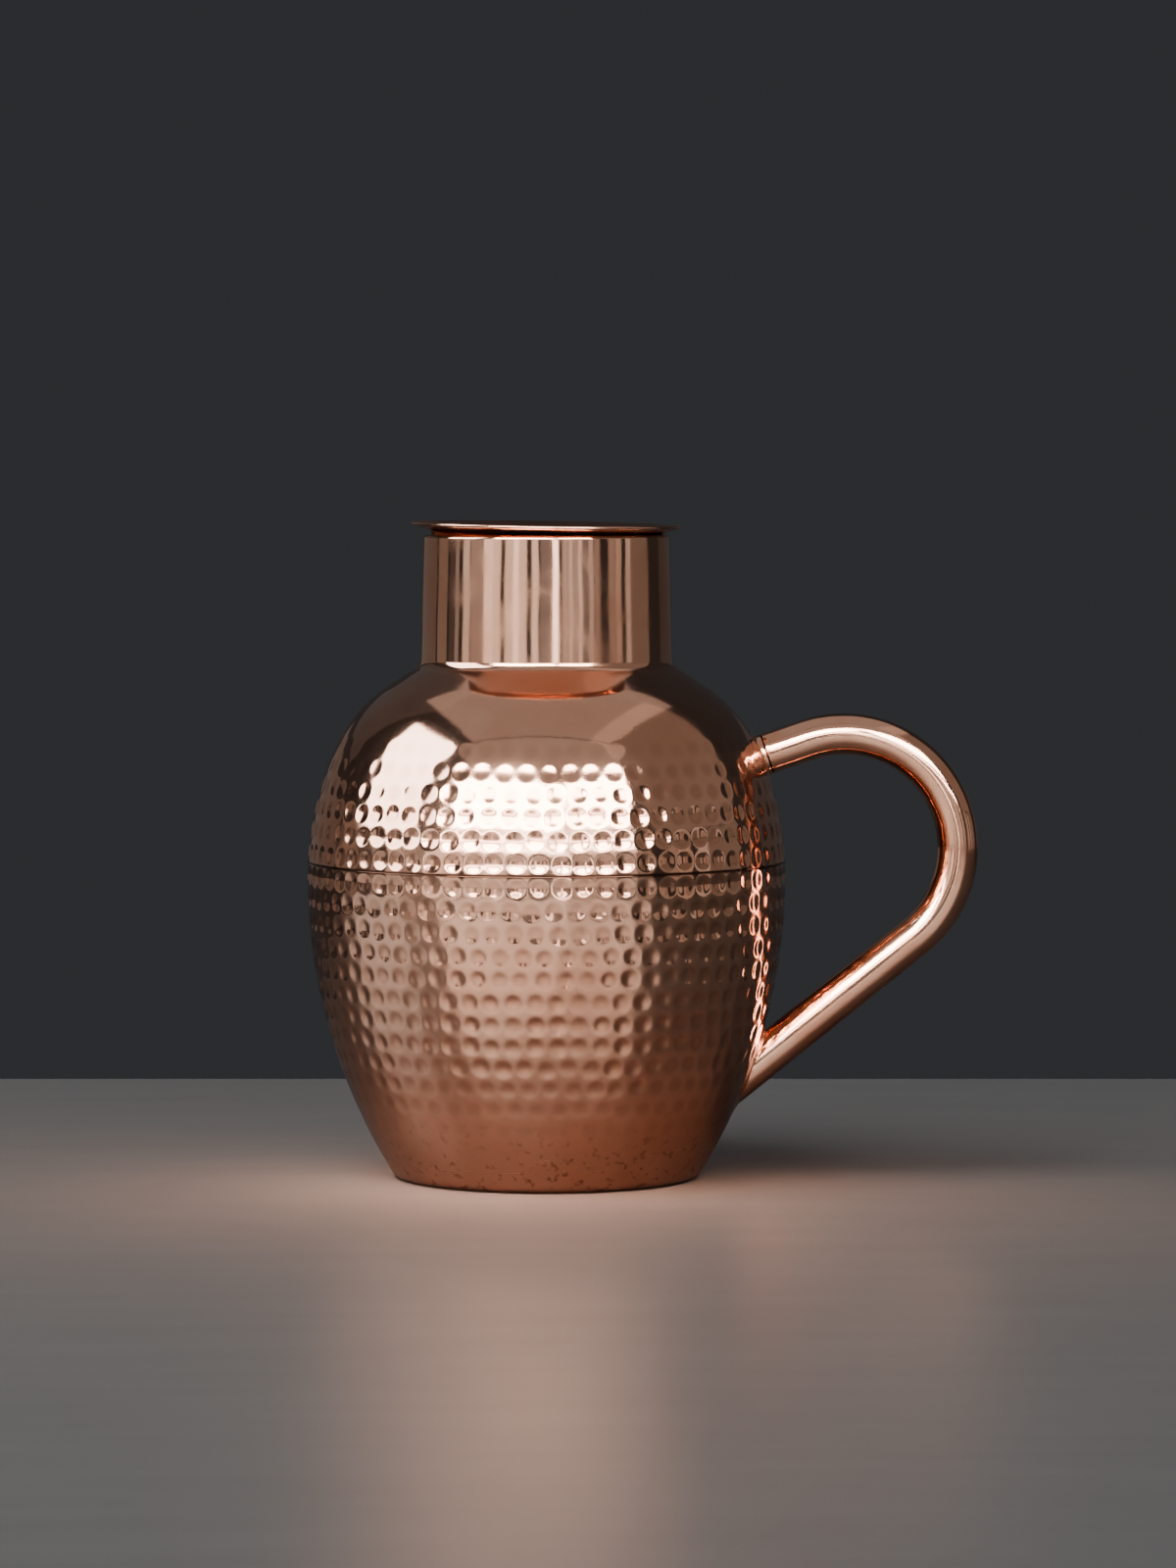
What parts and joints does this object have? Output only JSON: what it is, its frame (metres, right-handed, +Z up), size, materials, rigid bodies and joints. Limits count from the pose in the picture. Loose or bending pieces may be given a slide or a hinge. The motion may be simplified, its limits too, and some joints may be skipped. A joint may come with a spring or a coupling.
{
  "type": "lota water pot",
  "caption": "Hammered copper water jug with a bent tube handle and a polished neck; a tapered drinking tumbler hangs in the neck by its flared lip and lifts straight out.",
  "frame": {"origin": "on the table under the middle of the body, at the centre of the foot ring", "axes": "+Z up along the body's axis, +X from the body's axis to the handle, +Y away from the viewer who has the handle on the right"},
  "size_m": [0.1945, 0.1386, 0.1903],
  "materials": {
    "hammered_copper": "copper sheet with rows of round hammer marks, polished over",
    "polished_copper": "mirror-polished copper",
    "tumbler_copper": "polished copper, satin inside",
    "filler_metal": "copper-coloured brazing filler, dressed smooth"
  },
  "bodies": {
    "jug": {"base_disc": "polished_copper", "base_braze": "filler_metal", "lower_shell": "hammered_copper", "upper_shell": "hammered_copper", "belly_braze": "filler_metal", "neck_collar": "polished_copper", "neck_braze": "filler_metal", "handle_tube": "polished_copper", "handle_boss": "polished_copper", "upper_root_braze": "filler_metal", "lower_root_braze": "filler_metal"},
    "tumbler": {"tumbler": "tumbler_copper"}
  },
  "joints": [
    {"name": "tumbler_lift", "type": "slide", "parent": "jug", "child": "tumbler", "axis": [0, 0, 1], "range_m": [0, 0.12]}
  ]
}
